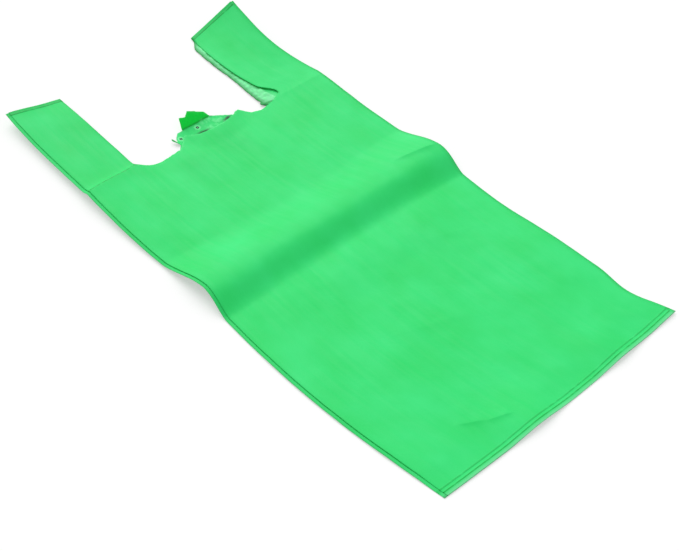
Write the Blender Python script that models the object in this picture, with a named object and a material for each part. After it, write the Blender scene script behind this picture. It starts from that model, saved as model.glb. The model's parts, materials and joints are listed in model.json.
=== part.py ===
"""Vest carrier bag of thin film, lying flat: a gusseted tube, welded across both ends and die-cut.

Run: blender --background --python part.py
Metres, +Z up. +X runs from the left side fold to the right one, +Y from the bottom weld to the
handles. The underside lies on z = 0, and the origin is the middle of the bag's footprint.
"""

import math

import bmesh
import bpy
import numpy as np

# Flat sizes of the bag, gussets folded in
BAG_WIDTH = 0.305
BAG_LENGTH = 0.610
GUSSET_DEPTH = 0.076
HANDLE_WIDTH = 0.062
MOUTH_DEPTH = 0.1455

# Film, drawn thicker than the real 0.017 mm so that each ply is a solid wall
FILM = 0.0004
PLY_GAP = 0.0005
LOWER_FOLD_PROUD = 0.0035

# Welds across both ends, each with a loose skirt outside it
BOTTOM_SKIRT = 0.0075
HANDLE_SKIRT = 0.0045
WELD_WIDTH = 0.0016
WELD_BEAD = 0.0002
WELD_GAP = 0.0002
WELD_DRAW = 0.030

# Mouth: a scoop beside each handle, and the torn tab left between the scoops
SCOOP_WIDTH = 0.034
SCOOP_RADIUS = 0.035
ROOT_RISE = 0.0105
TAB_HEIGHT = 0.0385
PIN_HOLE = 0.0022
PIN_RING = 0.0046
PIN_BEAD = 0.0003

# Where the front ply steps down from the gussets onto the back ply
STEP_WIDTH = 0.024

# Fold memory across the middle of the bag: a ridge, lower and softer away from the side edges,
# and a slight swell beyond its foot
RIDGE_HEIGHT = 0.0125
RIDGE_PLACE = 0.293
RIDGE_RISE = 0.037
RIDGE_FALL = 0.057
RIDGE_SHARPNESS = 1.4
RIDGE_SAG = 0.0012
RIDGE_SOFTNESS = 0.6
FOOT_SWELL = 0.0014
FOOT_DISTANCE = 0.060
FOOT_REACH = 0.037

# Drift of the bag's middle line to the left, below the ridge and above it
LOWER_BOW = 0.010
UPPER_BOW = 0.003

# Right edge below the ridge: puffed out and up, then nipped in near the bottom
EDGE_BULGE = 0.002
EDGE_PUFF = 0.0025
BULGE_PLACE = 0.135
BULGE_REACH = 0.083
EDGE_NIP = 0.0070
NIP_PLACE = 0.042
NIP_REACH = 0.042

# Lifted shoulders, tilted handles and the way that the handles lean
LEFT_SHOULDER = 0.0065
RIGHT_SHOULDER = 0.0042
SHOULDER_REACH = 0.085
LEFT_CURL = 0.0115
RIGHT_CURL = 0.0248
CURL_POWER = 1.7
LEFT_LEAN = 0.008
RIGHT_LEAN = 0.0017
RIGHT_BOW = 0.007

# The lower two plies of the right handle have slid toward the mouth, the upper two stand off them
# and are drawn back from the mouth at the root
HANDLE_OPENING = 0.0026
HANDLE_SLIP = 0.0072
ROOT_SLIP = 0.0098
SLIP_RISE = 0.0090
SLIP_REACH = 0.062
ROOT_PULL = 0.009
PULL_RISE = 0.014
PULL_REACH = 0.020
SLIP_DEPTH = 0.045
SLIP_EASE = 0.008

# Crease at the left handle's root, the tab's rise, its standing flap, the bottom edge's wave
CREASE_LIFT = 0.0030
CREASE_REACH = 0.030
CREASE_DROP = 0.006
TAB_LIFT = 0.006
FLAP_RISE = 0.0255
FLAP_ANGLE = math.radians(50)
HEM_LIFT = 0.004
HEM_REACH = 0.060

# Torn edges of the tab: share of its half width from the middle, share of its height
BACK_TEAR = (
    (-0.71, 0.08), (-0.60, 0.25), (-0.575, 0.50), (-0.48, 0.64), (-0.366, 0.64), (-0.345, 0.94),
    (-0.214, 0.90), (-0.142, 1.00), (0.26, 0.82), (0.342, 0.675), (0.416, 0.616), (0.696, 0.366),
    (0.837, 0.405), (0.988, 0.101),
)
FRONT_TEAR = (
    (-0.62, 0.15), (-0.434, 0.44), (-0.196, 0.244), (0.110, 0.205), (0.377, 0.216),
    (0.655, 0.301), (0.80, 0.42),
)
PIN_PLACES = ((-0.508, 0.423), (-0.074, 0.525))

# Fineness of the mesh, and how far its rows keep from the bottom of the scoops
FLAT_STEP = 0.024
MOUTH_STEP = 0.019
RIDGE_STEP = 0.0085
HANDLE_STEP = 0.017
CREASE_STEP = 0.004
SCOOP_CLEARANCE = 0.003
ARC_STEP = math.radians(15)
LENGTH_STEP = 0.0005

# Worked out from the sizes above
HALF = BAG_WIDTH / 2
PITCH = FILM + PLY_GAP
WELD_PITCH = FILM + WELD_GAP
HANDLE_EDGE = HALF - HANDLE_WIDTH
GUSSET_FOLD = HALF - GUSSET_DEPTH
TAB_HALF = HANDLE_EDGE - SCOOP_WIDTH
SCOOP_LINE = BAG_LENGTH - MOUTH_DEPTH
ROOT_LINE = SCOOP_LINE + ROOT_RISE
FLAP_LINE = SCOOP_LINE + FLAP_RISE
SLIP_PLACE = SCOOP_LINE + SLIP_RISE
PULL_PLACE = SCOOP_LINE + PULL_RISE
EDGE_START = HALF / 3
TAB_REACH = 1.2 * TAB_HALF
CUT_MARGIN = 0.02

GREEN = (0.060, 0.730, 0.200, 1.0)
ROUGHNESS = 0.42
SHARP_ANGLE = math.radians(40)


def clear_scene():
    for obj in list(bpy.data.objects):
        bpy.data.objects.remove(obj, do_unlink=True)


def film_material():
    material = bpy.data.materials.new("green_film")
    material.use_nodes = True
    shader = material.node_tree.nodes["Principled BSDF"]
    shader.inputs["Base Color"].default_value = GREEN
    shader.inputs["Roughness"].default_value = ROUGHNESS
    return material


def smooth(share):
    share = np.clip(share, 0.0, 1.0)
    return share * share * (3 - 2 * share)


# Flat form: the section of the folded tube, and how close its plies lie


def ply_pitch(y):
    """Distance from ply to ply: the plies draw together toward the weld at each end."""
    to_weld = np.minimum(abs(y - BOTTOM_SKIRT), abs(BAG_LENGTH - HANDLE_SKIRT - y))
    return WELD_PITCH + (PITCH - WELD_PITCH) * smooth(to_weld / WELD_DRAW)


def front_height(x, pitch):
    """The front ply lies on the gussets at the sides and steps down onto the back between them."""
    down = smooth((GUSSET_FOLD - abs(x)) / STEP_WIDTH)
    return FILM / 2 + pitch * (3 - 2 * down)


def columns():
    """Stations across the right half of the front, from the middle to where its side fold starts."""
    middle = np.linspace(0, GUSSET_FOLD - STEP_WIDTH, 3)
    step = np.linspace(GUSSET_FOLD - STEP_WIDTH, GUSSET_FOLD, 4)[1:]
    return list(middle) + list(step) + gusset_columns()[1:]


def gusset_columns():
    """Stations across a gusset ply, from its inner fold to where the side fold starts."""
    return list(np.linspace(GUSSET_FOLD, HALF - PITCH / 2, 6))


def right_half_section(y):
    """Middle line of the film for x >= 0, from the middle of the front to the middle of the back."""
    pitch = ply_pitch(y)
    level = [FILM / 2 + pitch * i for i in range(4)]
    proud = LOWER_FOLD_PROUD
    side = HALF - PITCH / 2
    points = [(x, front_height(x, pitch)) for x in columns()]
    points.append((side + pitch / 2, (level[3] + level[2]) / 2))
    gusset = gusset_columns()
    inner_start = gusset[0] + PITCH / 2
    points += [(x, level[2]) for x in reversed(gusset[1:])]
    points.append((inner_start, level[2]))
    points.append((inner_start - pitch / 2, (level[2] + level[1]) / 2))
    points.append((inner_start, level[1]))
    points += [(x, level[1]) for x in gusset[1:]]
    points.append((side + proud, level[1]))
    points.append((side + proud + pitch / 2, (level[1] + level[0]) / 2))
    points.append((side + proud, level[0]))
    points += [(x, level[0]) for x in reversed(columns())]
    return points


def section(y):
    """The whole closed section: the right half, then its mirror image back to the start."""
    right = right_half_section(y)
    left = [(-x, z) for x, z in reversed(right[1:-1])]
    return right + left


def stations():
    """Stations along the bag, closer where it bends."""
    ridge_start = RIDGE_PLACE - RIDGE_RISE
    ridge_end = RIDGE_PLACE + RIDGE_FALL
    below_scoops = SCOOP_LINE - SCOOP_CLEARANCE
    crease = ROOT_LINE + CREASE_STEP
    spans = (
        (0, BOTTOM_SKIRT, BOTTOM_SKIRT),
        (BOTTOM_SKIRT, ridge_start, FLAT_STEP),
        (ridge_start, ridge_end, RIDGE_STEP),
        (ridge_end, below_scoops, MOUTH_STEP),
        (below_scoops, ROOT_LINE, HANDLE_STEP),
        (ROOT_LINE, crease, HANDLE_STEP),
        (crease, FLAP_LINE, HANDLE_STEP),
        (FLAP_LINE, BAG_LENGTH - HANDLE_SKIRT, HANDLE_STEP),
        (BAG_LENGTH - HANDLE_SKIRT, BAG_LENGTH, HANDLE_SKIRT),
    )
    places = [0.0]
    for start, end, step in spans:
        count = max(1, round((end - start) / step))
        places += [start + (end - start) * (i + 1) / count for i in range(count)]
    return places


# Solids made flat, then cut


def mesh_object(name, points, faces, helper=False):
    mesh = bpy.data.meshes.new(name)
    mesh.from_pydata(points, [], faces)
    work = bmesh.new()
    work.from_mesh(mesh)
    bmesh.ops.recalc_face_normals(work, faces=work.faces)
    work.to_mesh(mesh)
    work.free()
    obj = bpy.data.objects.new(name, mesh)
    bpy.context.scene.collection.objects.link(obj)
    if helper:
        obj.hide_render = True
        obj.display_type = "WIRE"
    return obj


def film_tube():
    """The folded tube: its middle surface lofted through the stations, given the film's thickness."""
    rows = [[(x, y, z) for x, z in section(y)] for y in stations()]
    around = len(rows[0])
    points = [point for row in rows for point in row]
    faces = []
    for j in range(len(rows) - 1):
        for i in range(around):
            near, far = j * around, (j + 1) * around
            after = (i + 1) % around
            faces.append((near + i, near + after, far + after, far + i))
    tube = mesh_object("carrier_bag", points, faces)
    wall = tube.modifiers.new("film", "SOLIDIFY")
    wall.thickness = FILM
    wall.offset = 0.0
    wall.use_even_offset = True
    return tube


def prism(name, outline, low, high):
    """A helper prism: an outline in x and y, between two heights."""
    count = len(outline)
    points = [(x, y, low) for x, y in outline] + [(x, y, high) for x, y in outline]
    faces = [tuple(range(count)), tuple(range(count, 2 * count))]
    faces += [(i, (i + 1) % count, count + (i + 1) % count, count + i) for i in range(count)]
    return mesh_object(name, points, faces, helper=True)


def weld_bar(name, y):
    """A weld across the tube: it fills the gaps between the plies and leaves a bead on the front."""
    pitch = ply_pitch(y)
    across = [-x for x in reversed(columns()[1:])] + columns()
    top = [(x, front_height(x, pitch) + FILM / 2 + WELD_BEAD) for x in across]
    low = HALF - PITCH / 2 + LOWER_FOLD_PROUD
    outline = top + [(low, FILM / 2 + pitch * 1.5), (low, FILM / 2), (-low, FILM / 2)]
    outline.append((-low, FILM / 2 + pitch * 1.5))
    count = len(outline)
    points = [(x, y + shift, z) for shift in (-WELD_WIDTH / 2, WELD_WIDTH / 2) for x, z in outline]
    faces = [tuple(range(count)), tuple(range(count, 2 * count))]
    faces += [(i, (i + 1) % count, count + (i + 1) % count, count + i) for i in range(count)]
    return mesh_object(name, points, faces, helper=True)


def arc(centre, radius, start, end):
    """Points along an arc, its ends included."""
    count = max(1, math.ceil(abs(end - start) / ARC_STEP))
    angles = [start + (end - start) * i / count for i in range(count + 1)]
    return [(centre[0] + radius * math.cos(a), centre[1] + radius * math.sin(a)) for a in angles]


def tab_point(across, up):
    return (across * TAB_HALF, SCOOP_LINE + up * TAB_HEIGHT)


def root_scoop():
    """From the left handle's inner edge down round its root to the bottom of the scoop."""
    reach = math.sqrt(ROOT_RISE * (2 * SCOOP_RADIUS - ROOT_RISE))
    turn = math.asin(reach / SCOOP_RADIUS)
    centre = (-HANDLE_EDGE + reach, SCOOP_LINE + SCOOP_RADIUS)
    return arc(centre, SCOOP_RADIUS, -math.pi / 2 - turn, -math.pi / 2)


def mouth_outline():
    """What the die cut and the tear take away from every ply, as seen from the front."""
    top = BAG_LENGTH + CUT_MARGIN
    left = root_scoop()
    right = [(-x, y) for x, y in reversed(left)]
    middle = [tab_point(across, up) for across, up in BACK_TEAR]
    return [(-HANDLE_EDGE, top)] + left + middle + right + [(HANDLE_EDGE, top)]


def front_outline():
    """What the tear takes away from the front ply alone."""
    top = SCOOP_LINE + TAB_HEIGHT + CUT_MARGIN
    tear = [tab_point(across, up) for across, up in FRONT_TEAR]
    return [(tear[0][0], top)] + tear + [(tear[-1][0], top)]


def round_prism(name, centre, diameter, low, high):
    outline = arc(centre, diameter / 2, 0, 2 * math.pi)[:-1]
    return prism(name, outline, low, high)


def combine(target, helper, operation):
    step = target.modifiers.new(helper.name, "BOOLEAN")
    step.operation = operation
    step.solver = "EXACT"
    step.object = helper


def cut_bag(bag):
    """Welds the ends, then cuts the mouth, the tears and the pin holes through the flat plies."""
    stack = FILM + 3 * PITCH
    between = FILM + PLY_GAP / 2
    combine(bag, weld_bar("bottom_weld", BOTTOM_SKIRT), "UNION")
    combine(bag, weld_bar("handle_weld", BAG_LENGTH - HANDLE_SKIRT), "UNION")
    mouth = prism("mouth_cutter", mouth_outline(), -stack, 3 * stack)
    combine(bag, mouth, "DIFFERENCE")
    front = prism("front_tear_cutter", front_outline(), between, 3 * stack)
    combine(bag, front, "DIFFERENCE")
    for number, (across, up) in enumerate(PIN_PLACES, 1):
        centre = tab_point(across, up)
        ring = round_prism(f"pin_ring_{number}", centre, PIN_RING, FILM / 2, FILM + PIN_BEAD)
        combine(bag, ring, "UNION")
        hole = round_prism(f"pin_hole_{number}", centre, PIN_HOLE, -stack, FILM + 2 * PIN_BEAD)
        combine(bag, hole, "DIFFERENCE")


# Lie of the film: every point of the flat form is moved by these


def bump(distance, reach):
    """1 where the distance is 0, eased to 0 at the reach on both sides."""
    return smooth(1 - abs(distance) / reach)


def ridge(x, y):
    """Height of the soft ridge across the bag, steeper on its bottom side."""
    rise = np.clip((y - (RIDGE_PLACE - RIDGE_RISE)) / RIDGE_RISE, 0, 1)
    fall = np.clip((RIDGE_PLACE + RIDGE_FALL - y) / RIDGE_FALL, 0, 1)
    inward = 1 - side_share(abs(x), EDGE_START, HALF)
    hump = np.sin(math.pi / 2 * rise) * np.sin(math.pi / 2 * fall)
    swell = FOOT_SWELL * inward * bump(y - RIDGE_PLACE + FOOT_DISTANCE, FOOT_REACH)
    crest = RIDGE_HEIGHT - RIDGE_SAG * inward
    return crest * hump ** (RIDGE_SHARPNESS + RIDGE_SOFTNESS * inward) + swell


def ridge_taken(y):
    """Length of film that the ridge's slopes take up, from the bottom of the bag to y."""
    along = np.arange(0, BAG_LENGTH + LENGTH_STEP, LENGTH_STEP)
    slope = np.gradient(ridge(HALF / 2, along), along)
    run = np.sqrt(np.maximum(1 - slope**2, 0))
    return np.interp(y, along, np.cumsum(1 - run) * LENGTH_STEP)


def side_share(x, start, end):
    """0 at x = start, 1 at x = end, eased."""
    return smooth((x - start) / (end - start))


def body_drift(x, y):
    """Shift to the left, in one bow below the ridge and a slighter one above it."""
    lower = np.sin(math.pi * np.clip(y / RIDGE_PLACE, 0, 1))
    upper = np.sin(math.pi * np.clip((y - RIDGE_PLACE) / (ROOT_LINE - RIDGE_PLACE), 0, 1))
    edge = EDGE_BULGE * bump(y - BULGE_PLACE, BULGE_REACH) - EDGE_NIP * bump(y - NIP_PLACE, NIP_REACH)
    return edge * side_share(x, EDGE_START, HALF) - LOWER_BOW * lower - UPPER_BOW * upper


def edge_puff(x, y):
    """The right edge stands off the surface below the ridge."""
    return EDGE_PUFF * bump(y - BULGE_PLACE, BULGE_REACH) * side_share(x, EDGE_START, HALF)


def handle_lie(x, y):
    """Tilt of each handle, up along its outer edge, and the lifted shoulders."""
    along = np.clip((y - ROOT_LINE) / (BAG_LENGTH - ROOT_LINE), 0, 1)
    left = np.clip((-HANDLE_EDGE - x) / HANDLE_WIDTH, 0, 1)
    right = np.clip((x - HANDLE_EDGE) / HANDLE_WIDTH, 0, 1)
    full = along**CURL_POWER * np.where(x < 0, LEFT_CURL, RIGHT_CURL)
    shoulder = np.exp(-(((y - SCOOP_LINE) / SHOULDER_REACH) ** 2))
    lifted = LEFT_SHOULDER * side_share(x, -HANDLE_EDGE, -HALF)
    lifted = lifted + RIGHT_SHOULDER * side_share(x, HANDLE_EDGE, HALF)
    drawn_in = full**2 / (2 * HANDLE_WIDTH) * (left - right)
    left_lean = LEFT_LEAN * along * (x < 0)
    right_lean = (RIGHT_LEAN * along - RIGHT_BOW * np.sin(math.pi * along)) * (x > 0)
    return full * (left + right) + shoulder * lifted, drawn_in + left_lean + right_lean


def root_crease(x, y):
    """Crease across the root of the left handle: the bag rises to it and the handle drops away."""
    down = np.where(y < ROOT_LINE, (ROOT_LINE - y) / CREASE_REACH, (y - ROOT_LINE) / CREASE_DROP)
    return CREASE_LIFT * np.exp(-down) * side_share(x, -HANDLE_EDGE + SCOOP_WIDTH / 2, -HANDLE_EDGE)


def tab_lie(x, y):
    """Rise of the torn tab, and the length that the flap standing up beyond its crease takes up."""
    on_tab = smooth((TAB_REACH - abs(x)) / TAB_HALF)
    rise = TAB_LIFT * smooth((y - SCOOP_LINE - TAB_HEIGHT / 3) / TAB_HEIGHT) * on_tab
    beyond = np.maximum(y - FLAP_LINE, 0) * (abs(x) < TAB_HALF)
    return rise + beyond * math.sin(FLAP_ANGLE), beyond * (1 - math.cos(FLAP_ANGLE))


def hem_lie(x, y):
    """Slow wave along the bottom edge, dying out up the bag."""
    wave = 0.5 - 0.5 * np.cos(2 * math.pi * (x + HALF) / HALF)
    return HEM_LIFT * wave * smooth(1 - y / HEM_REACH)


def slid_plies(x, y, upper_pair):
    """Shift of the right handle's plies from the mouth: the upper plies out, the lower ones in."""
    start = smooth((y - SCOOP_LINE) / SLIP_EASE)
    end = smooth((BAG_LENGTH - HANDLE_SKIRT - y) / (2 * SLIP_EASE))
    inner = smooth((HANDLE_EDGE + SLIP_DEPTH - x) / SLIP_DEPTH)
    off_tab = smooth((x - TAB_HALF) / SLIP_EASE)
    lower_in = HANDLE_SLIP + ROOT_SLIP * bump(y - SLIP_PLACE, SLIP_REACH)
    upper_out = ROOT_PULL * bump(y - PULL_PLACE, PULL_REACH)
    return np.where(upper_pair, upper_out, -lower_in) * start * end * inner * off_tab


def handle_opening(x, y):
    """The upper two plies of the right handle stand off the lower two along the inner edge."""
    along = smooth((y - ROOT_LINE) / HANDLE_WIDTH) * smooth((BAG_LENGTH - y) / HANDLE_WIDTH)
    return HANDLE_OPENING * along * (1 - side_share(x, HANDLE_EDGE, HALF)) * (x > 0)


def lay_film(bag):
    """Bakes the cuts, then moves the flat form into the lie of the film."""
    graph = bpy.context.evaluated_depsgraph_get()
    cut = bpy.data.meshes.new_from_object(bag.evaluated_get(graph))
    bag.modifiers.clear()
    bag.data = cut
    flat = np.empty(len(cut.vertices) * 3)
    cut.vertices.foreach_get("co", flat)
    x, y, z = flat.reshape(-1, 3).T
    upper_pair = z > FILM / 2 + ply_pitch(y) * 1.5
    x = x + slid_plies(x, y, upper_pair)
    lifted, aside = handle_lie(x, y)
    stood, folded = tab_lie(x, y)
    height = ridge(x, y) + lifted + stood + root_crease(x, y) + hem_lie(x, y) + edge_puff(x, y)
    height = height + handle_opening(x, y) * upper_pair
    taken = ridge_taken(y) + folded
    placed = np.stack([x + aside + body_drift(x, y), y - taken, z + height], axis=1)
    middle = (placed.min(axis=0) + placed.max(axis=0)) / 2
    placed[:, :2] -= middle[:2]
    cut.vertices.foreach_set("co", placed.reshape(-1))
    cut.update()


def remove_helpers(bag):
    for obj in list(bpy.data.objects):
        if obj is not bag:
            bpy.data.objects.remove(obj, do_unlink=True)


def main():
    clear_scene()
    bag = film_tube()
    cut_bag(bag)
    lay_film(bag)
    remove_helpers(bag)
    bag.data.materials.clear()
    bag.data.materials.append(film_material())
    bag.data.shade_smooth()
    bag.data.set_sharp_from_angle(angle=SHARP_ANGLE)


main()
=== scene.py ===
"""Looks of the vest carrier bag: one sheet of film, folded flat, on a white floor."""

import json
import math
from types import SimpleNamespace

import bmesh
import bpy
import numpy as np
from mathutils import Matrix, Vector, kdtree, noise
from mathutils.geometry import delaunay_2d_cdt

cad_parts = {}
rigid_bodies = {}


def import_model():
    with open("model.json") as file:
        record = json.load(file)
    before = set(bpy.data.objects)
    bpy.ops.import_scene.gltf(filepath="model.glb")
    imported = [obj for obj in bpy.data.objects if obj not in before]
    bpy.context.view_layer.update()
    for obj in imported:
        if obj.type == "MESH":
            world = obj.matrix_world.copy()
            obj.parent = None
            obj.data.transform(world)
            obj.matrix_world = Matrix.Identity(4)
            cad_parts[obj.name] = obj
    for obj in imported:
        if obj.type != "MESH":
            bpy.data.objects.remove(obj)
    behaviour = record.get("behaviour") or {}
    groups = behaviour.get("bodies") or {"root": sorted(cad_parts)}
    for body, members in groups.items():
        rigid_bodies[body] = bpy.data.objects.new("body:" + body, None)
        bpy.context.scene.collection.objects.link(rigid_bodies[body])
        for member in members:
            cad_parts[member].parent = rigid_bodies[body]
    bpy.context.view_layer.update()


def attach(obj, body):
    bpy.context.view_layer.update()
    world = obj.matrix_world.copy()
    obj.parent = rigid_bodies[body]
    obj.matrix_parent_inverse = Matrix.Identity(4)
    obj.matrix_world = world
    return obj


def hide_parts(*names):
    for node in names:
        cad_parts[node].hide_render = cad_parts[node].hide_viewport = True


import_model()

# Sizes of the bag, as in its solid
HALF = 0.1525
LENGTH = 0.610
GUSSET = 0.076
HANDLE_WIDTH = 0.062
MOUTH_DEPTH = 0.1455
PROUD = 0.0035
BOTTOM_SKIRT = 0.0075
HANDLE_SKIRT = 0.0045
WELD_DRAW = 0.030
SCOOP_WIDTH = 0.034
SCOOP_RADIUS = 0.035
ROOT_RISE = 0.0105
TAB_HEIGHT = 0.0385
STEP_WIDTH = 0.024
RIDGE_HEIGHT, RIDGE_PLACE, RIDGE_RISE, RIDGE_FALL, RIDGE_SHARPNESS = 0.0125, 0.293, 0.037, 0.057, 1.4
RIDGE_SAG, RIDGE_SOFTNESS = 0.0012, 0.6
FOOT_SWELL, FOOT_DISTANCE, FOOT_REACH = 0.0014, 0.060, 0.037
EDGE_START = HALF / 3
LOWER_BOW, UPPER_BOW = 0.010, 0.003
EDGE_BULGE, EDGE_PUFF, BULGE_PLACE, BULGE_REACH = 0.002, 0.0025, 0.135, 0.083
EDGE_NIP, NIP_PLACE, NIP_REACH = 0.0070, 0.042, 0.042
LEFT_SHOULDER, RIGHT_SHOULDER, SHOULDER_REACH = 0.0065, 0.0042, 0.085
LEFT_CURL, RIGHT_CURL, CURL_POWER = 0.0115, 0.0248, 1.7
LEFT_LEAN, RIGHT_LEAN, RIGHT_BOW = 0.008, 0.0017, 0.007
HANDLE_SLIP, ROOT_SLIP, SLIP_RISE, SLIP_REACH = 0.0072, 0.0098, 0.0090, 0.062
ROOT_PULL, PULL_RISE, PULL_REACH = 0.009, 0.014, 0.020
SLIP_DEPTH, SLIP_EASE = 0.045, 0.008
CREASE_LIFT, CREASE_REACH, CREASE_SLANT = 0.0030, 0.030, 0.0095
CREASE_DROP = CREASE_REACH / 12
TAB_LIFT = 0.006
FLAP_RISE, FLAP_ANGLE = 0.0255, math.radians(50)
MIDDLE_X, MIDDLE_Y = -0.00495, 0.30316

HANDLE_EDGE = HALF - HANDLE_WIDTH
GUSSET_FOLD = HALF - GUSSET
TAB_HALF = HANDLE_EDGE - SCOOP_WIDTH
TAB_REACH = TAB_HALF * 1.2
SCOOP_LINE = LENGTH - MOUTH_DEPTH
ROOT_LINE = SCOOP_LINE + ROOT_RISE
FLAP_LINE = SCOOP_LINE + FLAP_RISE

# Film of the visible sheet: thinner and closer than in the solid
FILM = 0.00012
PITCH = 0.00050
WELD_PITCH = 0.00022
FOLD = 0.0006
HALF_FOLD = FOLD / 2

# Opening between the right handle's upper and lower plies
HANDLE_OPENING = 0.0011
OPENING_START, OPENING_END, OPENING_FALL, OPENING_MARGIN = 0.030, 0.010, 0.090, 0.012

# Lifts of the bottom edge: place across, reach across, height. The edge also bows out.
HEM_LIFTS = ((-0.042, 0.046, 0.0036), (0.073, 0.046, 0.0030), (0.165, 0.060, 0.0016))
HEM_REACH, HEM_BOW, BOW_REACH = 0.060, 0.0034, 0.150

# Seal lines across both ends: place along the bag, height of the bead
FAINT_SEAL = 0.0080
SEALS = ((FAINT_SEAL, 0.00028), (0.0043, 0.00030), (LENGTH - 0.0045, 0.00030))
SEAL_WIDTH = 0.0005
BOTTOM_SEALED, HANDLE_SEALED = 0.0100, LENGTH - 0.0065

# Slight creases: start, end, height, reach to the right of the way and to the left of it
CREASES = (
    ((0.1040, 0.3085), (0.1540, 0.2975), 0.0015, 0.0030, 0.0100),
    ((-0.0900, 0.0450), (-0.0690, 0.0325), 0.0008, 0.0022, 0.0110),
    ((-0.0690, 0.0315), (-0.0480, 0.0240), 0.0011, 0.0022, 0.0110),
    ((0.0860, 0.4700), (0.1560, 0.4660), 0.0009, 0.0080, 0.0070),
    ((-0.0350, 0.4640), (-0.0450, 0.4080), 0.0012, 0.0090, 0.0280),
    ((0.0200, 0.4480), (0.0330, 0.4120), 0.0008, 0.0080, 0.0200),
    ((-0.1150, 0.4420), (-0.0980, 0.3820), 0.0006, 0.0100, 0.0200),
    ((0.0500, 0.2150), (0.1250, 0.1900), 0.0007, 0.0100, 0.0220),
    ((-0.0600, 0.1500), (0.0150, 0.1250), 0.0006, 0.0120, 0.0240),
)
CREASE_ROUND = 0.0006
CREASE_BEYOND, CREASE_EASE = 0.15, 0.4
GROOVE_DEPTH, GROOVE_WIDTH = 0.00034, 0.0007

# Lip of the torn front ply: height, reach, and where it starts and ends in half widths of the tab
LIP_RISE, LIP_REACH = 0.0018, 0.024
LIP_START, LIP_START_EASE, LIP_END, LIP_END_EASE = 0.55, 0.25, 0.98, 0.35

# Crumpled film, the curled sliver, swells and the frill of the bottom edge
CRUMPLE_SCALE, TAB_CRUMPLE, HANDLE_CRUMPLE, CRUMPLE_CLEAR = 0.0062, 0.0011, 0.0022, 0.009
SLIVER_RISE = 0.0030
BROAD_SWELL, BROAD_SCALE, BROAD_START = 0.0012, 0.085, 0.03
SMALL_SWELL, SMALL_SCALE, SMALL_START = 0.00034, 0.026, 0.02
FRILL, FRILL_SCALE, FRILL_REACH, FRILL_STRETCH = 0.0007, 0.014, 0.0085, 0.2
SPECK_SCALE = 0.0024
CRUMPLE_SEED, BROAD_SEED, SMALL_SEED, FRILL_SEED, SPECK_SEED = 5.3, 1.7, 6.1, 9.4, 2.9
NOISE_GAIN, NOISE_GROWTH = 0.9, 2.1

# Torn edges, in half widths of the tab across and in heights of the tab up from the scoop
BACK_TEAR = (
    (-0.71, 0.08), (-0.62, 0.22), (-0.665, 0.28), (-0.700, 0.44), (-0.675, 0.50), (-0.611, 0.37),
    (-0.566, 0.50), (-0.465, 0.64), (-0.351, 0.64), (-0.318, 0.94), (-0.189, 0.90), (-0.113, 1.00),
    (0.206, 0.82), (0.302, 0.675), (0.381, 0.616), (0.686, 0.366), (0.823, 0.405), (0.988, 0.101),
)
FRONT_TEAR = (
    (-0.73, 0.05), (-0.62, 0.17), (-0.427, 0.44), (-0.196, 0.244), (0.110, 0.205), (0.377, 0.216),
    (0.652, 0.301), (0.785, 0.42),
)
BACK_TEAR_SEED, FRONT_TEAR_SEED = 3.0, 8.0
RAGGED_SIZE, RAGGED_STEP, RAGGED_FREQUENCY = 0.0007, 0.0022, 900
PIN_PLACES = ((-0.502, 0.423), (-0.064, 0.525))
PIN_HOLE = 0.0009
PIN_RIMS = (0.0013, 0.0019, 0.0030)

# Unrolled tube: where each fold lies along its width, from the middle of the front
U_FRONT = HALF
U_INNER = U_FRONT + GUSSET
U_LOWER = U_INNER + GUSSET + PROUD
U_START = U_LOWER - 2 * (U_LOWER + HALF + PROUD)

# Folds: place on the tube, ply before and ply after, from 0 at the back to 3 at the front.
# The last one is the seam, where the tube's two ends meet.
FOLDS = (
    (-U_LOWER, 0, 1), (-U_INNER, 1, 2), (-U_FRONT, 2, 3), (U_FRONT, 3, 2), (U_INNER, 2, 1), (U_LOWER, 1, 0),
)

# Steps between the points of the pattern, and the least distance between two points
FRONT_STEP, GUSSET_STEP, BACK_STEP = 0.0031, 0.0048, 0.0055
ROW_STEP, LOWER_ROW_STEP, SEAL_STEP, LOWER_SEAL_STEP = 0.0031, 0.0052, 0.0005, 0.0026
RIDGE_MARGIN, RIDGE_ROWS = 0.012, 0.8
CUT_PACE, CREASE_PACE, FLAP_PACE, LOWER_PACE = 0.0030, 0.0020, 0.0016, 0.0034
FINE_GAP, COARSE_GAP = 0.0004, 0.0010
FLAP_OFFSETS = (-0.0008, 0, 0.0008)
ROOT_OFFSETS = (-0.0014, -0.0007, -0.00035, 0, 0.00035, 0.0007, 0.0014, 0.0026, 0.0044)
LOWER_ROOT_OFFSETS = (-0.0014, -0.0004, 0.0004, 0.0014, 0.0026, 0.0048)
HANDLE_COLUMNS = (-HANDLE_EDGE - 0.0009, -HANDLE_EDGE - 0.0020)
EDGE_COLUMNS = (-U_FRONT + 0.0012, U_FRONT - 0.0012)
COLUMN_START = ROOT_LINE + 0.003
BEYOND = 0.02
TINY = 1e-6


def smooth(share):
    share = np.clip(share, 0.0, 1.0)
    return share * share * (3 - 2 * share)


def side_share(x, start, end):
    return smooth((x - start) / (end - start))


def bump(distance, reach):
    """1 where the distance is 0, eased to 0 at the reach on both sides."""
    return smooth(1 - abs(distance) / reach)


def bell(distance, width):
    return np.exp(-((distance / width) ** 2))


# Outlines in the flat bag, as seen from the front


def arc(centre, radius, start, end, step=math.radians(6)):
    count = max(1, math.ceil(abs(end - start) / step))
    angles = [start + (end - start) * i / count for i in range(count + 1)]
    return [(centre[0] + radius * math.cos(a), centre[1] + radius * math.sin(a)) for a in angles]


def ring(centre, radius, count=18):
    angles = [2 * math.pi * i / count for i in range(count)]
    return [(centre[0] + radius * math.cos(a), centre[1] + radius * math.sin(a)) for a in angles]


def tab_point(across, up):
    return (across * TAB_HALF, SCOOP_LINE + up * TAB_HEIGHT)


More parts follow.
